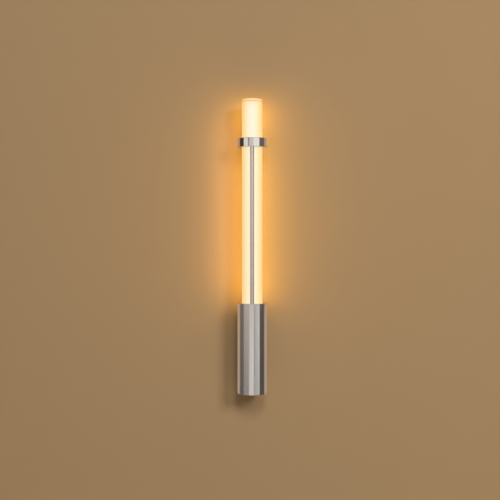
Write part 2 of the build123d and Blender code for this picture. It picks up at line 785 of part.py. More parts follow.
def make_mains_lead(name, pole_x, driver_x):
    """From a terminal's upper end to the driver's board."""
    return lead(name, mains_lead_r, (pole_x, terminal_y, terminal_top - lead_in_terminal),
                (pole_x, terminal_y, terminal_top + lead_above_terminal),
                (driver_x, mains_lead_y, driver_bottom - mains_lead_straight),
                (driver_x, mains_lead_y, driver_bottom + driver_wall + lead_in_driver))


def make_earth_lead():
    """From the third terminal's upper end into the earth tag's barrel."""
    barrel_y, _, low, _ = earth_barrel()
    return lead("lead_earth", mains_lead_r, (poles[2], terminal_y, terminal_top - lead_in_terminal),
                (poles[2], terminal_y, terminal_top + lead_above_terminal),
                (earth_screw_x, barrel_y, low - mains_lead_straight),
                (earth_screw_x, barrel_y, low + lead_in_earth_barrel))


def make_led_lead(name, driver_x, side):
    """From the driver's board up through the core plate to the feed board."""
    first_turn, last_turn = [driver_top + share * driver_below_plate for share in led_lead_turns]
    return lead(name, led_lead_r, (driver_x, led_lead_y, driver_top - driver_wall - lead_in_driver),
                (driver_x, led_lead_y, first_turn),
                (side * lead_spread / 2, lead_hole_y, last_turn),
                (side * lead_spread / 2, lead_hole_y, boss_top))


# ---- Build and write -----------------------------------------------------------------------------
nodes = {
    "wall_bracket": make_wall_bracket(),
    "standoff": make_standoff(),
    "bracket_screws": make_bracket_screws(),
    "standoff_screws": make_standoff_screws(),
    "chassis_spacers": make_chassis_spacers(),
    "cable_grommet": make_cable_grommet(),
    "base_sleeve": make_base_sleeve(),
    "top_cap": make_top_cap(),
    "seat_gasket": make_seat_gasket(),
    "core_plate": make_core_plate(),
    "core_plate_screws": make_core_plate_screws(),
    "lead_grommet": make_lead_grommet(),
    "chassis": make_chassis(),
    "chassis_screws": make_chassis_screws(),
    "bottom_cap": make_bottom_cap(),
    "bottom_cap_screw": make_bottom_cap_screw(),
    "led_core": make_led_core(),
    "core_screw": make_core_screw(),
    "feed_board": make_feed_board(),
    "core_spacer": make_core_spacer(),
    "spacer_screw": make_spacer_screw(),
    "opal_tube": make_opal_tube(),
    "cap_gasket": make_cap_gasket(),
    "tube_cap": make_tube_cap(),
    "brace_ring": make_brace_ring(),
    "ring_o_rings": make_ring_o_rings(),
    "ring_grub_screw": make_ring_grub_screw(),
    "rod": make_rod(),
    "driver_case": make_driver_case(),
    "driver_lid": make_driver_lid(),
    "driver_board": make_driver_board(),
    "driver_transformer": make_driver_transformer(),
    "driver_capacitors": make_driver_capacitors(),
    "driver_screws": make_driver_screws(),
    "terminal_block": make_terminal_block(),
    "terminal_tubes": make_terminal_tubes(),
    "terminal_screws": make_terminal_screws(),
    "terminal_fixing_screws": make_terminal_fixing_screws(),
    "earth_tag": make_earth_tag(),
    "earth_screw": make_earth_screw(),
    "lead_live": make_mains_lead("lead_live", poles[0], mains_lead_x[0]),
    "lead_neutral": make_mains_lead("lead_neutral", poles[1], mains_lead_x[1]),
    "lead_earth": make_earth_lead(),
    "lead_led_positive": make_led_lead("lead_led_positive", led_lead_x[0], -1),
    "lead_led_negative": make_led_lead("lead_led_negative", led_lead_x[1], 1),
}
for side, turn in core_sides().items():
    nodes["led_board_" + side] = make_led_board(turn)
    nodes["leds_" + side] = make_leds(turn)

os.makedirs("parts", exist_ok=True)
for name, shape in nodes.items():
    if isinstance(shape, list):
        shape = Compound(children=[Solid(piece.solids()[0].wrapped) for piece in shape])
    export_step(shape, "parts/" + name + ".step")
print(len(nodes), "nodes")
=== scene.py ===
import json
import math

import bmesh
import bpy
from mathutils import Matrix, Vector


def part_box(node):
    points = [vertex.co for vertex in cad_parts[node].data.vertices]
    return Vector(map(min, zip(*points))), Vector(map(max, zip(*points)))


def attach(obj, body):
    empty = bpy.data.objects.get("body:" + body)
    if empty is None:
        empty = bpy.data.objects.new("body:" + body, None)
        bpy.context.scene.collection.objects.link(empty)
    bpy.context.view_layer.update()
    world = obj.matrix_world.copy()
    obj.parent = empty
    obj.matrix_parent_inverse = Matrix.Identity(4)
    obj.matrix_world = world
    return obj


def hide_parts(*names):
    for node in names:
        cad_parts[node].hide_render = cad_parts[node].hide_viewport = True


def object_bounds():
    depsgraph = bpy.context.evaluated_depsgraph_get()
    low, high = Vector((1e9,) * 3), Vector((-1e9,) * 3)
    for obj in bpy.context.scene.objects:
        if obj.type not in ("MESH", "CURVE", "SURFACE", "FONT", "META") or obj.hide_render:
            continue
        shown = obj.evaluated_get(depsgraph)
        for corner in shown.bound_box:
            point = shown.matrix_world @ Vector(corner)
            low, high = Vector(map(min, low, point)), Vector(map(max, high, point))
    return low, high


# Tube wall light, dressed and lit. Metres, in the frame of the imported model: +Z up, the wall at y = 0.

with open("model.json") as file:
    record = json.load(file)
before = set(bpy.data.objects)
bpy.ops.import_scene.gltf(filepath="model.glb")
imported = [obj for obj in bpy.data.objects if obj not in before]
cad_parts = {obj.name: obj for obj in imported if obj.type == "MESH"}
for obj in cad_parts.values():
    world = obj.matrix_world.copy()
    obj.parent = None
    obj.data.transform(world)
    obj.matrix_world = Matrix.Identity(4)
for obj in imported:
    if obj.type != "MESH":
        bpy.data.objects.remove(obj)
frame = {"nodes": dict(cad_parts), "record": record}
nodes = frame["nodes"]
record = frame["record"]
cad_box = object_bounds()

# ---- Places worked out from the frame ------------------------------------------------------------
sleeve_low, sleeve_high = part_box("base_sleeve")
lamp_x = (sleeve_low.x + sleeve_high.x) / 2
lamp_y = (sleeve_low.y + sleeve_high.y) / 2
tube_low, tube_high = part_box("opal_tube")
lamp_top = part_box("tube_cap")[1].z
base_width = sleeve_high.x - sleeve_low.x
tube_radius = (tube_high.x - tube_low.x) / 2

# ---- The photograph's view -----------------------------------------------------------------------
image_width = 500.0
sensor_width = 36.0
focal_pixels = 930.0
base_pixels = 29.5          # the base's width, which sets the camera's distance
axis_pixel_x = 252.15       # the lamp's axis
horizon_pixel_y = 231.3     # what is level with the camera
camera_height = 0.238


# ---- Node helpers --------------------------------------------------------------------------------
def add(tree, kind, inputs=None, **settings):
    """Adds a node. Inputs are by name or index, each a socket to link or a value to set."""
    node = tree.nodes.new("ShaderNode" + kind)
    for name, value in settings.items():
        setattr(node, name, value)
    for name, value in (inputs or {}).items():
        if isinstance(value, bpy.types.NodeSocket):
            tree.links.new(value, node.inputs[name])
        else:
            node.inputs[name].default_value = value
    return node


def new_material(name):
    """An empty node material with its Principled shader."""
    material = bpy.data.materials.new(name)
    material.use_nodes = True
    tree = material.node_tree
    tree.nodes.clear()
    shader = add(tree, "BsdfPrincipled")
    add(tree, "OutputMaterial", {"Surface": shader.outputs[0]})
    return material, tree, shader


def rgba(colour):
    return (*colour, 1.0)


def place(tree, scale=(1.0, 1.0, 1.0)):
    """Object coordinates, stretched."""
    coordinates = add(tree, "TexCoord")
    return add(tree, "Mapping", {"Vector": coordinates.outputs["Object"], "Scale": scale}).outputs[0]


def noise(tree, vector, scale, detail=3.0, roughness=0.55):
    inputs = {"Vector": vector, "Scale": scale, "Detail": detail, "Roughness": roughness}
    return add(tree, "TexNoise", inputs).outputs["Fac"]


def between(tree, factor, low, high, start=0.0, end=1.0):
    """Carries a factor's range from start to end over to the range from low to high."""
    inputs = {"Value": factor, "From Min": start, "From Max": end, "To Min": low, "To Max": high}
    return add(tree, "MapRange", inputs).outputs[0]


def mixed(tree, factor, one, two):
    """A colour between two, by a factor."""
    node = add(tree, "Mix", data_type="RGBA")
    for name, value in (("Factor_Float", factor), ("A_Color", one), ("B_Color", two)):
        socket = next(s for s in node.inputs if s.identifier == name)
        if isinstance(value, bpy.types.NodeSocket):
            tree.links.new(value, socket)
        else:
            socket.default_value = value
    return next(s for s in node.outputs if s.identifier == "Result_Color")


def maths(tree, operation, one, two=0.0):
    return add(tree, "Math", {0: one, 1: two}, operation=operation).outputs[0]


def bump(tree, height, distance):
    return add(tree, "Bump", {"Height": height, "Distance": distance, "Strength": 1.0}).outputs[0]


def edge_mask(tree, radius):
    """1 on edges that fingers and cloths have rubbed, 0 on plain faces."""
    soft = add(tree, "Bevel", {"Radius": radius}, samples=4).outputs[0]
    hard = add(tree, "NewGeometry").outputs["True Normal"]
    alike = add(tree, "VectorMath", {0: soft, 1: hard}, operation="DOT_PRODUCT").outputs["Value"]
    return between(tree, alike, 1.0, 0.0, 0.72, 0.99)


def turned_place(tree, axis_x, axis_y, around=1.0):
    """Coordinates on a turned piece: the tool's lines follow equal radius and equal height."""
    position = add(tree, "TexCoord").outputs["Object"]
    centred = add(tree, "VectorMath", {0: position, 1: (-axis_x, -axis_y, 0.0)}).outputs[0]
    split = add(tree, "SeparateXYZ", {0: centred})
    x, y, z = split.outputs
    squares = maths(tree, "ADD", maths(tree, "MULTIPLY", x, x), maths(tree, "MULTIPLY", y, y))
    radius = maths(tree, "SQRT", squares)
    angle = maths(tree, "MULTIPLY", maths(tree, "ARCTAN2", y, x), around)
    return radius, angle, z


# ---- Materials -----------------------------------------------------------------------------------
def turned_metal(name, colour, roughness, anisotropy, line_depth, axis=(lamp_x, lamp_y), streaks=0.0):
    """Nickel finished on a lathe: fine lines round the axis, soft blotches, rubbed edges. Streaks darken the
    colour in faint lengthwise marks, on its sides alone."""
    material, tree, shader = new_material(name)
    radius, angle, height = turned_place(tree, *axis)
    lines_at = add(tree, "CombineXYZ", {0: maths(tree, "MULTIPLY", radius, 5200.0),
                                        1: maths(tree, "MULTIPLY", angle, 1.3),
                                        2: maths(tree, "MULTIPLY", height, 5200.0)}).outputs[0]
    lines = noise(tree, lines_at, 1.0, 5.0, 0.65)
    blotches = noise(tree, place(tree), 34.0, 4.0)
    smudges = noise(tree, place(tree, (1.0, 1.0, 0.35)), 90.0, 2.0)
    rubbed = edge_mask(tree, 0.0009)

    dull = tuple(0.93 * c for c in colour)
    base = mixed(tree, blotches, rgba(colour), rgba(dull))
    if streaks:
        # faint darker lengthwise streaks in the colour, on the sides alone
        lengthwise_noise = noise(tree, place(tree, (1.0, 1.0, 0.004)), 620.0, 2.0, 0.7)
        upright = add(tree, "SeparateXYZ", {0: add(tree, "NewGeometry").outputs["True Normal"]}).outputs[2]
        side = maths(tree, "LESS_THAN", maths(tree, "ABSOLUTE", upright), 0.5)
        marks = maths(tree, "MULTIPLY", between(tree, lengthwise_noise, 0.0, 1.0, 0.38, 0.66), side)
        dark = tuple((1.0 - streaks) * c for c in colour)
        base = mixed(tree, marks, base, rgba(dark))
    bright = tuple(min(1.0, 1.12 * c) for c in colour)
    base = mixed(tree, maths(tree, "MULTIPLY", rubbed, 0.7), base, rgba(bright))
    tree.links.new(base, shader.inputs["Base Color"])

    rough = between(tree, lines, roughness * 0.86, roughness * 1.16, 0.25, 0.75)
    rough = maths(tree, "ADD", rough, between(tree, smudges, -0.015, 0.03, 0.35, 0.75))
    rough = maths(tree, "SUBTRACT", rough, maths(tree, "MULTIPLY", rubbed, roughness * 0.25))
    tree.links.new(rough, shader.inputs["Roughness"])

    tangent = add(tree, "Tangent", direction_type="RADIAL", axis="Z").outputs[0]
    tree.links.new(tangent, shader.inputs["Tangent"])
    tree.links.new(bump(tree, lines, line_depth), shader.inputs["Normal"])
    shader.inputs["Metallic"].default_value = 1.0
    shader.inputs["Anisotropic"].default_value = anisotropy
    shader.inputs["Anisotropic Rotation"].default_value = 0.25
    return material


def sheet_metal(name, colour, roughness, grain=(40.0, 40.0, 2400.0), spangle=0.0):
    """Rolled or plated metal with a straight grain, cloudy plating and rubbed edges."""
    material, tree, shader = new_material(name)
    lines = noise(tree, place(tree, grain), 1.0, 4.0, 0.6)
    cloud = noise(tree, place(tree), 55.0, 5.0, 0.6)
    rubbed = edge_mask(tree, 0.0007)
    dull = tuple(0.80 * c for c in colour)
    base = mixed(tree, between(tree, cloud, 0.0, 1.0, 0.3, 0.7), rgba(colour), rgba(dull))
    if spangle:
        cells = add(tree, "TexVoronoi", {"Vector": place(tree), "Scale": 420.0}).outputs["Color"]
        base = mixed(tree, spangle, base, cells)
        base = mixed(tree, 0.75, base, rgba(colour))
    bright = tuple(min(1.0, 1.2 * c) for c in colour)
    base = mixed(tree, maths(tree, "MULTIPLY", rubbed, 0.6), base, rgba(bright))
    tree.links.new(base, shader.inputs["Base Color"])
    rough = between(tree, cloud, roughness * 0.8, roughness * 1.25, 0.3, 0.7)
    tree.links.new(rough, shader.inputs["Roughness"])
    tree.links.new(bump(tree, lines, 0.000006), shader.inputs["Normal"])
    shader.inputs["Metallic"].default_value = 1.0
    return material


def moulded(name, colour, roughness, texture_depth=0.00001, texture_scale=2600.0, specular=0.5):
    """Moulded plastic: a fine spark-eroded texture, faint cloudiness and slightly polished edges."""
    material, tree, shader = new_material(name)
    grain = noise(tree, place(tree), texture_scale, 3.0)
    cloud = noise(tree, place(tree), 60.0, 3.0)
    rubbed = edge_mask(tree, 0.0006)
    shade = tuple(0.90 * c for c in colour)
    base = mixed(tree, between(tree, cloud, 0.0, 0.8, 0.3, 0.7), rgba(colour), rgba(shade))
    tree.links.new(base, shader.inputs["Base Color"])
    rough = between(tree, grain, roughness * 0.85, roughness * 1.15, 0.3, 0.7)
    rough = maths(tree, "SUBTRACT", rough, maths(tree, "MULTIPLY", rubbed, 0.08))
    tree.links.new(rough, shader.inputs["Roughness"])
    tree.links.new(bump(tree, grain, texture_depth), shader.inputs["Normal"])
    shader.inputs["Specular IOR Level"].default_value = specular
    return material


def opal(name, glow, between_rows, end_glow, high_z, fade):
    """Opal glass lit from inside. The four LED rows light the glass in front of them a little more, the
    light is warmer towards the closed end, and it crosses more glass towards the limb, which warms it."""
    material, tree, shader = new_material(name)
    radius, turns, height = turned_place(tree, lamp_x, lamp_y, led_rows)
    rows = between(tree, maths(tree, "COSINE", turns), 1.0, 0.0, -1.0, 1.0)
    near_end = maths(tree, "POWER", between(tree, height, 0.0, 1.0, high_z - fade, high_z), 3.0)
    rim = between(tree, radius, 0.15, 1.0, 0.5 * tube_radius, 0.96 * tube_radius)
    near_end = maths(tree, "MULTIPLY", near_end, rim)
    cloud = noise(tree, place(tree, (1.0, 1.0, 0.4)), 70.0, 3.0)
    body = mixed(tree, rows, rgba(glow), rgba(between_rows))
    body = mixed(tree, between(tree, cloud, 0.0, 0.10, 0.3, 0.7), body, rgba(between_rows))
    tree.links.new(mixed(tree, near_end, body, rgba(end_glow)), shader.inputs["Emission Color"])
    shader.inputs["Emission Strength"].default_value = 1.0
    shader.inputs["Base Color"].default_value = rgba(opal_body)
    skin = noise(tree, place(tree), 900.0, 2.0)
    tree.links.new(between(tree, skin, 0.28, 0.36, 0.3, 0.7), shader.inputs["Roughness"])
    tree.links.new(bump(tree, skin, 0.000004), shader.inputs["Normal"])
    shader.inputs["Specular IOR Level"].default_value = 0.4
    shader.inputs["Coat Weight"].default_value = 1.0
    shader.inputs["Coat IOR"].default_value = 1.08
    shader.inputs["Coat Roughness"].default_value = 0.3
    shader.inputs["Coat Tint"].default_value = rgba(opal_tint)
    return material


def silicone(name, colour, glow=None):
    """Soft translucent silicone. A glow, where one is given, is painted light: an emission standing in for
    the tube's light coming through it.
    """
    material, tree, shader = new_material(name)
    cloud = noise(tree, place(tree), 500.0, 3.0)
    shade = tuple(0.86 * c for c in colour)
    tree.links.new(mixed(tree, cloud, rgba(colour), rgba(shade)), shader.inputs["Base Color"])
    tree.links.new(between(tree, cloud, 0.42, 0.6), shader.inputs["Roughness"])
    tree.links.new(bump(tree, cloud, 0.00001), shader.inputs["Normal"])
    shader.inputs["Subsurface Weight"].default_value = 0.3
    shader.inputs["Subsurface Scale"].default_value = 0.001
    # painted light: the glow is an emission, not light passing through the silicone
    if glow:
        shader.inputs["Emission Color"].default_value = rgba(glow)
        shader.inputs["Emission Strength"].default_value = 1.0
    return material


def circuit_board(name, colour, glow=0.0):
    """Solder mask over copper tracks: the tracks lift the mask and show a little through it."""
    material, tree, shader = new_material(name)
    wide = place(tree, (1.0, 1.0, 0.22))
    cells = add(tree, "TexVoronoi", {"Vector": wide, "Scale": 330.0}, distance="CHEBYCHEV",
                feature="F1").outputs["Distance"]
    tracks = between(tree, cells, 0.0, 1.0, 0.42, 0.46)
    lit = tuple(min(1.0, 1.25 * c) for c in colour)
    grain = noise(tree, place(tree), 1200.0, 3.0)
    base = mixed(tree, maths(tree, "MULTIPLY", tracks, 0.45), rgba(colour), rgba(lit))
    tree.links.new(base, shader.inputs["Base Color"])
    tree.links.new(between(tree, grain, 0.26, 0.4), shader.inputs["Roughness"])
    tree.links.new(bump(tree, tracks, 0.00003), shader.inputs["Normal"])
    # painted light: a faint warm emission makes the board glow, standing in for the light it gets inside the
    # lit tube
    if glow:
        shader.inputs["Emission Color"].default_value = (1.0, 0.86, 0.62, 1.0)
        shader.inputs["Emission Strength"].default_value = glow
    return material


def phosphor(name):
    """The yellow face of an LED package, alight."""
    material, tree, shader = new_material(name)
    grain = noise(tree, place(tree), 3000.0, 2.0)
    face = mixed(tree, grain, (1.0, 0.90, 0.62, 1.0), (1.0, 0.84, 0.50, 1.0))
    tree.links.new(face, shader.inputs["Emission Color"])
    shader.inputs["Emission Strength"].default_value = 1.6
    shader.inputs["Base Color"].default_value = (0.95, 0.78, 0.25, 1.0)
    tree.links.new(between(tree, grain, 0.3, 0.5), shader.inputs["Roughness"])
    return material


def insulation(name, colour, stripe=None):
    """A wire's plastic insulation, with a wound stripe where it has a second colour."""
    material, tree, shader = new_material(name)
    grain = noise(tree, place(tree), 1500.0, 2.0)
    shade = tuple(0.85 * c for c in colour)
    base = mixed(tree, grain, rgba(colour), rgba(shade))
    if stripe:
        wave = add(tree, "TexWave", {"Vector": place(tree, (160.0, 0.0, 70.0)), "Scale": 1.0},
                   wave_type="BANDS", bands_direction="DIAGONAL").outputs["Fac"]
        base = mixed(tree, between(tree, wave, 0.0, 1.0, 0.48, 0.52), base, rgba(stripe))
    tree.links.new(base, shader.inputs["Base Color"])
    tree.links.new(between(tree, grain, 0.34, 0.46), shader.inputs["Roughness"])
    tree.links.new(bump(tree, grain, 0.000008), shader.inputs["Normal"])
    return material


nickel = (0.585, 0.568, 0.545)
led_rows = 4.0
opal_body = (0.18, 0.145, 0.09)
opal_tint = (1.0, 0.76, 0.46)
opal_glow = (0.90, 1.11, 1.55)
opal_between_rows = (0.90, 1.035, 1.04)
opal_end_glow = (0.90, 0.93, 0.92)
opal_cap_glow = (0.90, 0.90, 0.80)
opal_edge_glow = (0.86, 0.76, 0.58)

materials = {
    "satin_nickel": turned_metal("satin_nickel", nickel, 0.20, 0.7, 0.000002, streaks=0.13),
    "standoff_nickel": sheet_metal("standoff_nickel", (0.53, 0.51, 0.48), 0.34),
    "zinc_steel": sheet_metal("zinc_steel", (0.58, 0.59, 0.60), 0.36, spangle=0.35),
    "opal_glass": opal("opal_glass", opal_glow, opal_between_rows, opal_end_glow, tube_high.z, 0.026),
    "opal_cap": opal("opal_cap", opal_cap_glow, opal_cap_glow, opal_edge_glow, lamp_top, 0.0016),
    "silicone": silicone("silicone", (0.80, 0.78, 0.74)),
    "black_rubber": moulded("black_rubber", (0.03, 0.03, 0.03), 0.62, 0.00002, 1800.0, 0.35),
    "core_aluminium": sheet_metal("core_aluminium", (0.72, 0.73, 0.74), 0.30, (2400.0, 2400.0, 30.0)),
    "board_white": circuit_board("board_white", (0.80, 0.81, 0.80), 0.25),
    "led_phosphor": phosphor("led_phosphor"),
    "spacer_white": moulded("spacer_white", (0.82, 0.82, 0.80), 0.42),
    "driver_white": moulded("driver_white", (0.74, 0.74, 0.73), 0.45),
    "board_green": circuit_board("board_green", (0.05, 0.20, 0.08)),
    "transformer_yellow": moulded("transformer_yellow", (0.70, 0.56, 0.10), 0.35, 0.00002, 900.0),
    "capacitor_sleeve": moulded("capacitor_sleeve", (0.04, 0.05, 0.08), 0.28),
    "terminal_white": moulded("terminal_white", (0.80, 0.79, 0.73), 0.40),
    "brass": sheet_metal("brass", (0.80, 0.60, 0.26), 0.28),
    "tinned_copper": sheet_metal("tinned_copper", (0.68, 0.66, 0.62), 0.25),
    "wire_brown": insulation("wire_brown", (0.16, 0.07, 0.03)),
    "wire_blue": insulation("wire_blue", (0.03, 0.10, 0.42)),
    "wire_green_yellow": insulation("wire_green_yellow", (0.10, 0.36, 0.05), (0.80, 0.66, 0.05)),
    "wire_red": insulation("wire_red", (0.50, 0.03, 0.02)),
    "wire_black": insulation("wire_black", (0.025, 0.025, 0.027)),
}
rod_low, rod_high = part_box("rod")
rod_axis = ((rod_low.x + rod_high.x) / 2, (rod_low.y + rod_high.y) / 2)
own_finish = {
    "brace_ring": turned_metal("polished_nickel", (0.62, 0.59, 0.555), 0.10, 0.5, 0.000001),
    # painted reflection: the rod's nickel has a warmer, slightly darker tint than the base's. Part of that
    # is its own tone, and part is a warm reflection painted into its colour
    "rod": turned_metal("rod_nickel_warm_reflection", (0.57, 0.53, 0.475), 0.22, 0.6, 0.000001, rod_axis),
    "cap_gasket": silicone("cap_gasket", (0.30, 0.23, 0.14), (0.32, 0.16, 0.06)),
}

slots = {part["node"]: part["material_slot"] for part in record["subparts"]}
for node, slot in slots.items():
    if node in nodes:
        piece = nodes[node]
        piece.data.materials.clear()
        piece.data.materials.append(own_finish.get(node, materials[slot]))


# ---- Pieces in the place of plain ones -----------------------------------------------------------
sharp_angle = 32            # degrees between two faces from which their edge is sharp


def loft(form, loops, close_start=True, close_end=True):
    """Quads from each loop of points to the next, and a face over the first and the last."""
    rings = [[form.verts.new(point) for point in loop] for loop in loops]
    count = len(rings[0])
    for one, two in zip(rings, rings[1:]):
        for index in range(count):
            after = (index + 1) % count
            form.faces.new((one[index], one[after], two[after], two[index]))
    if close_start:
        form.faces.new(reversed(rings[0]))
    if close_end:
        form.faces.new(rings[-1])


def stand_in(name, form, slot, body, node):
    """Makes a piece of a form, in place of a node and riding on its body."""
    bmesh.ops.recalc_face_normals(form, faces=form.faces)
    mesh = bpy.data.meshes.new(name)
    form.to_mesh(mesh)
    form.free()
    mesh.shade_smooth()
    mesh.set_sharp_from_angle(angle=math.radians(sharp_angle))
    mesh.materials.append(materials[slot])
    piece = bpy.data.objects.new(name, mesh)
    bpy.context.scene.collection.objects.link(piece)
    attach(piece, body)
    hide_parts(node)


# LED packages
leds_in_a_row = 26
package_height = 0.0035
package_corner = 0.00015                    # the radius of the body's corners
package_edge, package_bevel = 0.00006, 0.00010      # the bevel's height, and both its widths together
cup_rim, cup_floor = 0.00026, 0.00028       # the white rim round the cup, and the cup's depth
brim_depth = 0.00008                        # how far the resin stays under the rim
solder_reach = 0.00045


def rounded_loop(width, height, radius, out):
    """Points round a rounded rectangle: across, up and outwards."""
    steps = 3
    points = []
    for index, (side_x, side_z) in enumerate(((1, 1), (-1, 1), (-1, -1), (1, -1))):
        for step in range(steps + 1):
            turn = math.radians(90 * (index + step / steps))
            points.append((side_x * (width / 2 - radius) + radius * math.cos(turn),
                           side_z * (height / 2 - radius) + radius * math.sin(turn), out))
    return points


def package_loops(width, height, depth):
    """The white body's outside, rim and cup, and the resin that fills the cup."""
    cup_width, cup_height = width - 2 * cup_rim, height - 2 * cup_rim
    floor = depth - cup_floor
    body = [rounded_loop(width, height, package_corner, 0.0),
            rounded_loop(width, height, package_corner, depth - package_edge),
            rounded_loop(width - package_bevel, height - package_bevel, package_corner, depth),
            rounded_loop(cup_width, cup_height, 0.00045, depth),
            rounded_loop(cup_width - 0.0003, cup_height - 0.0003, 0.0005, floor)]
    brim = depth - brim_depth
    resin = [rounded_loop(cup_width - 0.0001, cup_height - 0.0001, 0.00046, brim),
             rounded_loop(cup_width - 0.0006, cup_height - 0.0006, 0.00040, brim - 0.00004),
             rounded_loop(cup_width * 0.4, cup_height * 0.4, 0.00030, brim - 0.00006)]
    return body, resin


def solder_loops(width, height, end):
    """The fillet that ties one end of a package to its pad."""
    profile = ((height / 2 - 0.0001, 0.0), (height / 2 + solder_reach, 0.0),
               (height / 2 + solder_reach, 0.00006), (height / 2 + 0.00012, 0.00014),
               (height / 2, 0.00038), (height / 2 - 0.0001, 0.00038))
    loops = [[(side * width * 0.42, end * up, out) for up, out in profile] for side in (-1, 1)]
    return loops if end > 0 else loops[::-1]


def make_led_row(side, across, outwards):
    """The packages of one board, in place of the plain blocks of its node."""
    node = "leds_" + side
    low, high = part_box(node)
    size = high - low
    width = abs(size.dot(Vector(across)))
    depth = abs(size.dot(Vector(outwards)))
    centre = (low + high) / 2
    seat = centre - Vector(outwards) * depth / 2
    pitch = (size.z - package_height) / (leds_in_a_row - 1)
    body, resin = package_loops(width, package_height, depth)
    kinds = {"body": ([body], "spacer_white"), "resin": ([resin], "led_phosphor"),
             "solder": ([solder_loops(width, package_height, end) for end in (-1, 1)], "tinned_copper")}
    for kind, (shapes, slot) in kinds.items():
        form = bmesh.new()
        for index in range(leds_in_a_row):
            middle = Vector((seat.x, seat.y, low.z + package_height / 2 + pitch * index))
            for loops in shapes:
                moved = [[middle + Vector(across) * x + Vector((0, 0, z)) + Vector(outwards) * out
                          for x, z, out in loop] for loop in loops]
                loft(form, moved, close_start=kind != "resin")
        stand_in(f"led_{kind}_{side}", form, slot, "root", node)


# Each side of the core: the way across its board, and outwards
core_sides = {"front": ((1, 0, 0), (0, -1, 0)), "right": ((0, 1, 0), (1, 0, 0)),
              "back": ((-1, 0, 0), (0, 1, 0)), "left": ((0, -1, 0), (-1, 0, 0))}
for side, (across, outwards) in core_sides.items():
    make_led_row(side, across, outwards)


# Screws whose heads or threads show
head_radius_share, head_height_share = 1.8, 1.2     # of the thread's radius
pitch_share, thread_depth_share = 0.35, 0.16
recess_reach_share, recess_half_width_share = 0.9, 0.25
recess_depth_share = 0.65   # of the head's height
screw_points = 24           # round a screw
rounding_steps = 4          # over the head's rim
rows_in_a_turn = 6          # of the thread


def add_screw(form, x, y, face_z, tip_z, thread_radius):
    """A pan-head screw along Z: a tapered cross recess, a rounded rim and a helical thread."""
    along = 1 if tip_z > face_z else -1
    head_radius, head_height = head_radius_share * thread_radius, head_height_share * thread_radius
    seat_z = face_z + along * head_height
    rounding = head_height / 2
    turns = [2 * math.pi * index / screw_points for index in range(screw_points)]

    def loop(radius_at, z):
        return [Vector((x + radius_at(turn) * math.cos(turn), y + radius_at(turn) * math.sin(turn), z))
                for turn in turns]

    def cross(share):
        def radius_at(turn):
            off = abs((turn + math.pi / 4) % (math.pi / 2) - math.pi / 4)
            end = recess_reach_share / math.cos(off)
            side = recess_half_width_share / max(math.sin(off), 0.01)
            return share * thread_radius * min(end, side)
        return radius_at

    loops = [loop(cross(0.5), face_z + along * recess_depth_share * head_height), loop(cross(1.0), face_z)]
    for step in range(rounding_steps + 1):
        turn = math.radians(90 * step / rounding_steps)
        radius = head_radius - rounding * (1 - math.sin(turn))
        loops.append(loop(lambda _, r=radius: r, face_z + along * rounding * (1 - math.cos(turn))))
    loops.append(loop(lambda _: head_radius, seat_z))

    pitch = pitch_share * thread_radius
    length = abs(tip_z - seat_z)
    rows = math.ceil(length / pitch * rows_in_a_turn)
    for row in range(rows + 1):
        depth = length * row / rows

        def thread(turn, depth=depth):
            groove = abs(2 * ((depth / pitch - turn / (2 * math.pi)) % 1) - 1)
            return thread_radius * (1 - thread_depth_share * groove)
        loops.append(loop(thread, seat_z + along * depth))
    loft(form, loops)


def make_screws():
    """The bottom cap's screw, the spacer's, and the two that lock the standoff to the bracket."""
    for node, body, head_end in (("bottom_cap_screw", "bottom_cover", -1), ("spacer_screw", "root", 1)):
        low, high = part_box(node)
        faces = (high.z, low.z) if head_end > 0 else (low.z, high.z)
        form = bmesh.new()
        add_screw(form, (low.x + high.x) / 2, (low.y + high.y) / 2, *faces,
                  (high.x - low.x) / 2 / head_radius_share)
        stand_in(node + "_threaded", form, slots[node], body, node)
    node = "bracket_screws"
    low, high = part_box(node)
    tip = min(abs(vertex.co.z) for vertex in nodes[node].data.vertices)
    form = bmesh.new()
    for face_z, tip_z in ((low.z, -tip), (high.z, tip)):
        add_screw(form, (low.x + high.x) / 2, (low.y + high.y) / 2, face_z, tip_z,
                  (high.x - low.x) / 2 / head_radius_share)
    stand_in(node + "_threaded", form, slots[node], "root", node)


make_screws()


# ---- Stage ---------------------------------------------------------------------------------------
def stage_mesh(name, points, faces):
    mesh = bpy.data.meshes.new(name)
    mesh.from_pydata(points, [], faces)
    thing = bpy.data.objects.new(name, mesh)
    bpy.context.scene.collection.objects.link(thing)
    return thing


def plain_material(name, colour):
    """A matt stage surface with a faint mottle."""
    material, tree, shader = new_material(name)
    mottle = noise(tree, place(tree), 3.0, 4.0)
    shade = tuple(0.97 * c for c in colour)
    tree.links.new(mixed(tree, mottle, rgba(colour), rgba(shade)), shader.inputs["Base Color"])
    shader.inputs["Roughness"].default_value = 0.9
    shader.inputs["Specular IOR Level"].default_value = 0.1
    return material


def cover(tree, factor, shader):
    """Mixes another shader over a material's own by a factor."""
    output = next(node for node in tree.nodes if node.type == "OUTPUT_MATERIAL")
    own = output.inputs["Surface"].links[0].from_socket
    mix = add(tree, "MixShader", {0: factor, 1: own, 2: shader})
    tree.links.new(mix.outputs[0], output.inputs["Surface"])


def see_through_from_behind(material):
    """The wall isn't there for a camera behind it, for the lamps that light that side, nor for rays
    that start from the back of the wall bracket, which touches it."""
    tree = material.node_tree
    path = add(tree, "LightPath")
    behind = add(tree, "NewGeometry").outputs["Backfacing"]
    gone = maths(tree, "MAXIMUM", path.outputs["Is Shadow Ray"], behind)
    gone = maths(tree, "MAXIMUM", gone, maths(tree, "LESS_THAN", path.outputs["Ray Length"], touching))
    cover(tree, gone, add(tree, "BsdfTransparent").outputs[0])


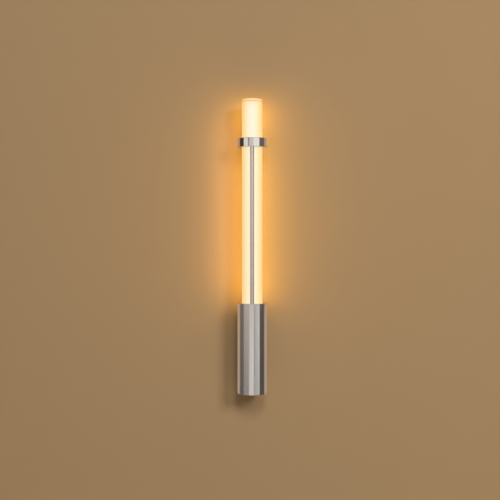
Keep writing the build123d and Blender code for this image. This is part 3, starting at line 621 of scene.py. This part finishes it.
def pale_for_camera(material, near_share, far_colour):
    """Lifts the floor for the camera, so that it stays pale and meets the backdrop far from the lamps.
    Near the object it keeps its shadows."""
    tree = material.node_tree
    seen = add(tree, "LightPath").outputs["Is Camera Ray"]
    ground = add(tree, "VectorMath", {0: add(tree, "TexCoord").outputs["Object"], 1: (1.0, 1.0, 0.0)},
                 operation="MULTIPLY").outputs[0]
    away = add(tree, "VectorMath", {0: ground}, operation="LENGTH").outputs["Value"]
    share = between(tree, away, near_share, 1.0, fade_start, fade_end)
    light = add(tree, "Emission", {"Color": rgba(far_colour), "Strength": 1.0}).outputs[0]
    cover(tree, maths(tree, "MULTIPLY", seen, share), light)


floor_z = -0.5
wall_gap = 0.0008           # keeps the wall off the back of the bracket
wall_y = cad_box[1].y + wall_gap
reach = 6.0
fade_start, fade_end = 0.5, 3.0     # how far off the floor fades into the backdrop
touching = 0.004            # a ray that meets the wall sooner started from the back of the bracket
floor = stage_mesh("floor", [(-reach, -reach, floor_z), (reach, -reach, floor_z), (reach, reach, floor_z),
                             (-reach, reach, floor_z)], [(0, 1, 2, 3)])
backdrop_colour = (0.80, 0.77, 0.73)
floor_paint = plain_material("floor_pale", (0.66, 0.63, 0.59))
pale_for_camera(floor_paint, 0.35, backdrop_colour)
floor.data.materials.append(floor_paint)
wall = stage_mesh("wall", [(-reach, wall_y, floor_z), (reach, wall_y, floor_z), (reach, wall_y, reach),
                           (-reach, wall_y, reach)], [(0, 1, 2, 3)])
wall_paint = plain_material("wall_paint", (0.365, 0.238, 0.122))
see_through_from_behind(wall_paint)
wall.data.materials.append(wall_paint)


def shining(name, low, high, low_z, high_z, front_only=False):
    """An emission material that runs from one radiance at its foot to another at its head."""
    material = bpy.data.materials.new(name)
    material.use_nodes = True
    tree = material.node_tree
    tree.nodes.clear()
    height = add(tree, "SeparateXYZ", {0: place(tree)}).outputs[2]
    colour = mixed(tree, between(tree, height, 0.0, 1.0, low_z, high_z), rgba(low), rgba(high))
    light = add(tree, "Emission", {"Color": colour, "Strength": 1.0})
    if front_only:
        behind = add(tree, "NewGeometry").outputs["Backfacing"]
        tree.links.new(maths(tree, "SUBTRACT", 1.0, behind), light.inputs["Strength"])
    add(tree, "OutputMaterial", {"Surface": light.outputs[0]})
    return material


def crossing(degrees, radius):
    """Where the camera's ray that the round metal turns aside by that angle crosses a circle round the
    lamp. 0 is back to the camera, and +X is positive."""
    turn = math.radians(degrees / 2)
    start = Vector((math.sin(turn), -math.cos(turn))) * base_width / 2
    along = Vector((math.sin(2 * turn), -math.cos(2 * turn)))
    ahead = start.dot(along)
    ray = -ahead + math.sqrt(ahead ** 2 - start.length_squared + radius ** 2)
    x, y = start + ray * along
    return lamp_x + x, lamp_y + y


def reflection_card(name, places, low_z, high_z, low, high, ramp):
    """An upright card through the places that only reflections see, with its radiance at the foot and
    the head of the ramp."""
    points = [(x, y, z) for x, y in places for z in (low_z, high_z)]
    faces = [(2 * i, 2 * i + 1, 2 * i + 3, 2 * i + 2) for i in range(len(places) - 1)]
    card = stage_mesh(name, points, faces)
    card.data.materials.append(shining(name, low, high, *ramp))
    card.visible_camera = False
    card.visible_diffuse = False
    card.visible_transmission = False
    card.visible_shadow = False


def curved_card(name, first, last, radius, *rest):
    steps = 12
    places = [crossing(first + (last - first) * index / steps, radius) for index in range(steps + 1)]
    reflection_card(name, places, *rest)


far, near = 1.6, 0.13               # radii of the cards: soft boxes far off, dark flags close by
card_foot, card_head = floor_z + 0.02, 2.2
rim_gap = 0.001                     # between the rims and the wall
rim_near, rim_far = 0.05, 0.21      # the cards against the wall, from the lamp's axis
base_head, ring_foot = 0.0, 0.50    # the base mirrors what is below, the ring what is above, the rod between
base_ramp = (-0.36, 0.0)
ring_ramp = (0.50, 0.60)
# Each soft box and flag: its first and last angle as in crossing(), and its radiance at foot and head
base_soft_boxes = {
    "left": (-67.5, -24, (0.36, 0.34, 0.33), (0.80, 0.73, 0.68)),
    "front": (-23.5, 14.5, (1.22, 1.17, 1.15), (0.96, 0.91, 0.86)),
    "dip": (15, 24, (0.36, 0.35, 0.35), (0.50, 0.48, 0.46)),
    "right": (24.5, 44, (0.64, 0.66, 0.68), (0.98, 0.98, 0.99)),
    "right_edge": (44.5, 60, (0.78, 0.80, 0.82), (1.22, 1.22, 1.24)),
}
ring_soft_boxes = {
    "left": (-68.5, -33.5, (1.12, 1.03, 1.01), (1.18, 1.09, 1.05)),
    "left_dip": (-33, -26.5, (0.28, 0.25, 0.23), (0.28, 0.25, 0.23)),
    "left_dip_side": (-26, -20.5, (0.54, 0.51, 0.49), (0.54, 0.51, 0.49)),
    "front": (-20, 9, (0.86, 0.82, 0.80), (0.92, 0.88, 0.86)),
    "right": (9.5, 57, (1.22, 1.22, 1.24), (1.28, 1.27, 1.28)),
}
for name, (first, last, low, high) in base_soft_boxes.items():
    curved_card("base_" + name, first, last, far, card_foot, base_head, low, high, base_ramp)
for name, (first, last, low, high) in ring_soft_boxes.items():
    curved_card("ring_" + name, first, last, far, ring_foot, card_head, low, high, ring_ramp)
curved_card("rod_box", -70, 57, far, base_head, ring_foot, (0.62, 0.54, 0.44), (1.33, 1.15, 1.22),
            (base_head, ring_foot))

base_z = (sleeve_low.z - 0.04, sleeve_high.z + 0.02)
ring_low, ring_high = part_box("brace_ring")
ring_z = (ring_low.z - 0.01, ring_high.z + 0.04)
# painted reflection: dark cards close beside the base and the ring, seen only in reflections, put dark bands
# at the sides of their metal
flags = {
    "base_left_flag": (-112, -68.5, base_z, (0.20, 0.175, 0.15), (0.32, 0.25, 0.19)),
    "base_right_flag": (60.5, 108, base_z, (0.13, 0.11, 0.10), (0.19, 0.15, 0.12)),
    "ring_left_flag": (-112, -69.5, ring_z, (0.085, 0.06, 0.055), (0.085, 0.06, 0.055)),
    "ring_right_flag": (58, 108, ring_z, (0.21, 0.19, 0.175), (0.21, 0.19, 0.175)),
}
for name, (first, last, span, low, high) in flags.items():
    curved_card(name, first, last, near, *span, low, high, span)
# painted reflection: warm cards just in front of the wall, seen only in reflections, make the rims of the
# base and ring mirror a brighter, warmer wall than the shaded one behind them
rims = {
    "base_left_rim": (-1, base_z, (0.62, 0.52, 0.40), (0.75, 0.54, 0.36)),
    "base_right_rim": (1, base_z, (0.62, 0.52, 0.40), (0.78, 0.56, 0.40)),
    "ring_left_rim": (-1, ring_z, (0.66, 0.44, 0.28), (0.66, 0.44, 0.28)),
    "ring_right_rim": (1, ring_z, (0.68, 0.50, 0.32), (0.68, 0.50, 0.32)),
}
for name, (side, span, low, high) in rims.items():
    places = [(lamp_x + side * rim_near, wall_y - rim_gap), (lamp_x + side * rim_far, wall_y - rim_gap)]
    reflection_card(name, places, *span, low, high, span)


def make_wall_glow(name, low_z, high_z, low, high):
    """The tube's light on the wall, which the photograph shows deep orange: a shell round the tube that
    lights matt surfaces, and that the camera and reflections don't see. It has one radiance at its foot
    and another at its head."""
    radius, steps = tube_radius + 0.0003, 32
    turns = [2 * math.pi * index / steps for index in range(steps)]
    points = [(lamp_x + radius * math.cos(turn), lamp_y + radius * math.sin(turn), z)
              for turn in turns for z in (low_z, high_z)]
    faces = [(2 * i, (2 * i + 2) % (2 * steps), (2 * i + 3) % (2 * steps), 2 * i + 1) for i in range(steps)]
    shell = stage_mesh(name, points, faces)
    shell.data.materials.append(shining(name, low, high, low_z, high_z, front_only=True))
    shell.visible_camera = False
    shell.visible_glossy = False
    shell.visible_transmission = False
    shell.visible_shadow = False


glow_foot, glow_head = sleeve_high.z + 0.009, lamp_top - 0.001
glow_fade = 0.065           # at both ends of the tube the photograph's wall is brighter than a plain tube's
middle_glow, end_glow = (5.5, 3.35, 0.1), (8.4, 4.9, 0.15)
make_wall_glow("glow_low", glow_foot, glow_foot + glow_fade, end_glow, middle_glow)
make_wall_glow("glow_under_ring", glow_foot + glow_fade, ring_low.z, middle_glow, middle_glow)
make_wall_glow("glow_over_ring", ring_high.z, glow_head - glow_fade, middle_glow, middle_glow)
make_wall_glow("glow_high", glow_head - glow_fade, glow_head, middle_glow, end_glow)


def soft_lamp(name, position, target, size, power, colour=(1.0, 1.0, 1.0), spread=180.0):
    """A soft box, as wide and high as its size says. Reflections see the cards in its place."""
    light = bpy.data.lights.new(name, "AREA")
    light.shape = "RECTANGLE"
    light.size, light.size_y = size
    light.energy = power
    light.color = colour
    light.spread = math.radians(spread)
    lamp = bpy.data.objects.new(name, light)
    lamp.location = position
    lamp.rotation_euler = (Vector(target) - Vector(position)).to_track_quat("-Z", "Y").to_euler()
    lamp.visible_camera = False
    lamp.visible_glossy = False
    bpy.context.scene.collection.objects.link(lamp)


middle = (lamp_x, lamp_y, 0.2)
soft_lamp("key", (2.2, -3.9, 1.9), middle, (1.1, 1.1), 100.0)
soft_lamp("high_key", (0.4, -4.4, 2.9), middle, (1.4, 1.4), 98.0)
soft_lamp("back", (-0.9, 1.7, 1.1), middle, (1.2, 1.2), 26.0)
soft_lamp("back_low", (1.2, 1.4, 0.0), middle, (1.2, 1.2), 10.0)
glow_middle = (tube_low.z + tube_high.z) / 2
soft_lamp("shade_fill", (lamp_x - 0.035, lamp_y - 0.04, glow_middle), (lamp_x - 0.045, 0.0, glow_middle),
          (0.01, 0.34), 0.045, (1.0, 0.58, 0.45), 90.0)


def make_world():
    """An even surround, and a pale background for the camera."""
    world = bpy.data.worlds.new("surround")
    world.use_nodes = True
    tree = world.node_tree
    tree.nodes.clear()
    path = add(tree, "LightPath")
    surround = add(tree, "Background", {"Color": (1.0, 1.0, 1.0, 1.0), "Strength": 0.08})
    backdrop = add(tree, "Background", {"Color": rgba(backdrop_colour), "Strength": 1.0})
    seen = maths(tree, "MAXIMUM", path.outputs["Is Camera Ray"], path.outputs["Is Glossy Ray"])
    seen = maths(tree, "MAXIMUM", seen, path.outputs["Is Transmission Ray"])
    mix = add(tree, "MixShader", {0: seen, 1: surround.outputs[0], 2: backdrop.outputs[0]})
    add(tree, "OutputWorld", {"Surface": mix.outputs[0]})
    bpy.context.scene.world = world


make_world()


# ---- Camera --------------------------------------------------------------------------------------
def make_camera():
    camera = bpy.data.cameras.new("camera")
    camera.sensor_width = sensor_width
    camera.lens = sensor_width * focal_pixels / image_width
    view = bpy.data.objects.new("camera", camera)
    distance = focal_pixels * base_width / base_pixels
    aside = (axis_pixel_x - image_width / 2) * base_width / base_pixels
    view.location = (lamp_x - aside, lamp_y - distance, camera_height)
    pitch = math.atan((image_width / 2 - horizon_pixel_y) / focal_pixels)
    view.rotation_euler = (math.pi / 2 - pitch, 0.0, 0.0)
    bpy.context.scene.collection.objects.link(view)
    bpy.context.scene.camera = view


make_camera()
bpy.context.scene.view_settings.view_transform = "Standard"
